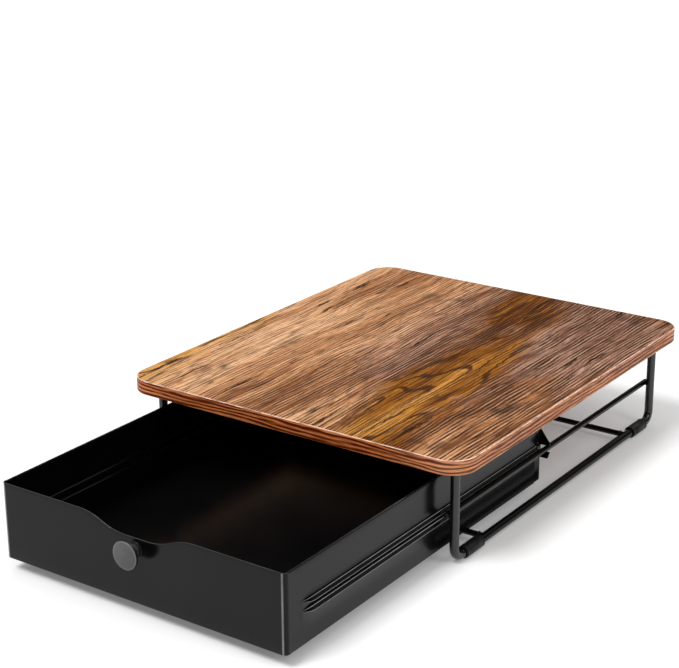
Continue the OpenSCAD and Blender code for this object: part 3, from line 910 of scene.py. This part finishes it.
def sleeve(node):
    """A moulded sleeve: round rims, a groove near each end and a bore that shows its wall."""
    low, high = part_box(node)
    length = (high.y - low.y) / MM
    radius = (high.x - low.x) / 2 / MM
    origin = Vector(((low.x + high.x) / 2, low.y, (low.z + high.z) / 2))
    # From the bore's end over the rim to the far side of the groove
    half = [(ROD_R, 0.6), (ROD_R + 0.15, 0.15), (ROD_R + 0.5, 0.0), (radius - SLEEVE_RIM, 0.0)]
    half += arc(radius - SLEEVE_RIM, SLEEVE_RIM, SLEEVE_RIM, -90, 0, 6)[1:]
    half += [(radius, 2.4), (radius - GROOVE, 2.7), (radius - GROOVE, 3.0), (radius, 3.3)]
    profile = half + [(r, length - h) for r, h in reversed(half)] + [half[0]]
    name = node + "_moulded"
    made = lathe(name, profile, origin, BACKWARDS, "stand", "black_rubber", turns=64, sharp=45)
    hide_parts(node)


for end in ENDS:
    for side in SIDES:
        sleeve(f"{end}_sleeve_{side}")


# ----------------------------------------------------------------- welds
# Points along a ring and a seam, and round a bead's section
RING_STEPS, SEAM_STEPS, BEAD_POINTS = 56, 26, 10
WELD_SHARP = 60
# A ring's bead is this much flatter along its axis
RING_FLAT = 0.8


def weld_ring(name, centre, axis, radius, thick):
    """A rippled weld bead round a rod, with its radius and half thickness in mm."""
    axis, side, other = square_axes(axis)
    points = []
    for i in range(RING_STEPS):
        share = i / RING_STEPS
        a = math.radians(360.0 * share)
        out = side * math.cos(a) + other * math.sin(a)
        uneven = noise.noise(Vector((share * 9, radius, thick)))
        ripple = 1 + 0.16 * abs(math.sin(a * 7)) + 0.10 * uneven
        for j in range(BEAD_POINTS):
            b = 2 * math.pi * j / BEAD_POINTS
            offset = out * math.cos(b) * thick * ripple
            offset += axis * math.sin(b) * thick * ripple * RING_FLAT
            points.append(Vector(centre) + (out * radius + offset) * MM)
    faces = grid(RING_STEPS, BEAD_POINTS, wrap_rows=True)
    piece(name, points, faces, "stand", "black_rod", WELD_SHARP)


def weld_seam(name, start, end, thick):
    """A short straight weld bead with ripples and tapered ends, its half thickness in mm."""
    start, end = Vector(start), Vector(end)
    _, side, other = square_axes(end - start)
    points = []
    for i in range(SEAM_STEPS):
        share = i / (SEAM_STEPS - 1)
        width = thick * (0.25 + 0.75 * math.sin(math.pi * share) ** 0.5)
        width *= 1 + 0.14 * math.sin(share * 40)
        for j in range(BEAD_POINTS):
            b = 2 * math.pi * j / BEAD_POINTS
            out = side * math.cos(b) + other * math.sin(b)
            points.append(start.lerp(end, share) + out * width * MM)
    piece(name, points, tube(SEAM_STEPS, BEAD_POINTS), "stand", "black_rod", WELD_SHARP)


# (ring radius, half thickness) of the beads at the cross bars and under the leg plates
CROSS_BEAD, PLATE_BEAD = (2.35, 0.75), (ROD_R, 0.8)
# The beads along the guide rails: half thickness, half length, and how far they lie from the
# leg's axis along the rail
RAIL_BEAD, RAIL_BEAD_HALF, RAIL_BEAD_ASIDE = 0.75, 2.0, 1.9
# How far the beads at the cross bars and the rails lie from the leg's axis, just inside its face
CROSS_TOUCH, RAIL_TOUCH = 3.55, 3.45
# The plates' beads lie this far below the leg's top
PLATE_DOWN = 0.3

for end in ENDS:
    cross_low, cross_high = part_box(f"{end}_cross_bar")
    cross_y, cross_z = (cross_low.y + cross_high.y) / 2, (cross_low.z + cross_high.z) / 2
    for side, sign in zip(SIDES, (-1, 1)):
        leg_low, leg_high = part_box(f"{end}_leg_{side}")
        leg_x = (leg_low.x + leg_high.x) / 2
        leg_y = leg_low.y + ROD_R * MM if end == "front" else leg_high.y - ROD_R * MM
        at = (leg_x - sign * CROSS_TOUCH * MM, cross_y, cross_z)
        weld_ring(f"weld_{end}_cross_{side}", at, (1, 0, 0), *CROSS_BEAD)
        at = (leg_x, leg_y, leg_high.z - PLATE_DOWN * MM)
        weld_ring(f"weld_{end}_plate_{side}", at, (0, 0, 1), *PLATE_BEAD)
        x = leg_x - sign * RAIL_TOUCH * MM
        for label, shift in (("a", -1), ("b", 1)):
            y = leg_y + shift * RAIL_BEAD_ASIDE * MM
            start = (x, y, (RAIL_Z - RAIL_BEAD_HALF) * MM)
            stop = (x, y, (RAIL_Z + RAIL_BEAD_HALF) * MM)
            weld_seam(f"weld_{end}_rail_{side}_{label}", start, stop, RAIL_BEAD)


# ------------------------------------------------------- floor and light
# Metres, strengths in Blender's own units, and degrees
FLOOR_HALF = 45
KEY_STRENGTH, KEY_WIDTH, KEY_AIM = 2.2, 22, (0.14, 0.50, -0.85)
SKY_STRENGTH = 0.92
# The studio's dome, (sine of elevation, brightness): a pale skirting, a dim wall, and a bright
# softbox overhead
SKY = ((0.0, 1.0), (0.032, 1.0), (0.045, 0.055), (0.42, 0.055), (0.72, 0.95), (1.0, 1.0))


def lay_floor(half, material):
    """A square floor at the height of zero, from -half to half."""
    data = bpy.data.meshes.new("floor")
    corners = [(x * half, y * half, 0) for x, y in ((-1, -1), (1, -1), (1, 1), (-1, 1))]
    data.from_pydata(corners, [], [(0, 1, 2, 3)])
    data.materials.append(material)
    made = bpy.data.objects.new("floor", data)
    scene.collection.objects.link(made)


lay_floor(FLOOR_HALF, pale_floor())

world = bpy.data.worlds.new("world")
scene.world = world
world.use_nodes = True
sky = world.node_tree.nodes
sky_links = world.node_tree.links
direction = sky.new("ShaderNodeTexCoord")
elevation = sky.new("ShaderNodeSeparateXYZ")
dome = sky.new("ShaderNodeValToRGB")
sky_links.new(direction.outputs["Generated"], elevation.inputs[0])
sky_links.new(elevation.outputs[2], dome.inputs["Fac"])
sky_links.new(dome.outputs["Color"], sky["Background"].inputs["Color"])
set_stops(dome.color_ramp, [(at, grey(tone)) for at, tone in SKY])
sky["Background"].inputs["Strength"].default_value = SKY_STRENGTH


def light(data, aim, at=(0, 0, 0)):
    """Hangs a light at a place, shining along aim."""
    made = bpy.data.objects.new(data.name, data)
    made.location = at
    made.rotation_mode = "QUATERNION"
    made.rotation_quaternion = Vector(aim).to_track_quat("-Z", "Y")
    scene.collection.objects.link(made)
    return made


def softbox(name, at, target, width, height, power):
    """A rectangular area light, which looks from its place to its target."""
    data = bpy.data.lights.new(name, "AREA")
    data.shape = "RECTANGLE"
    data.size, data.size_y = width, height
    data.energy = power
    return light(data, Vector(target) - Vector(at), at)


key = bpy.data.lights.new("key", "SUN")
key.energy = KEY_STRENGTH
key.angle = math.radians(KEY_WIDTH)
light(key, KEY_AIM)
softbox("side", (1.5, -0.1, 1.0), target=(0.05, 0, 0.05), width=0.6, height=0.9, power=6)
# Seen only in reflections: on the ridges' upper edges and the tops of the level rods
above_rear = (0.14, 1.72, 1.42)
rim_light = softbox("rim", above_rear, target=(0.14, -0.1, 0.05), width=0.5, height=0.4, power=10)
rim_light.visible_diffuse = False


scene.view_settings.view_transform = "Standard"
scene.view_settings.look = "None"
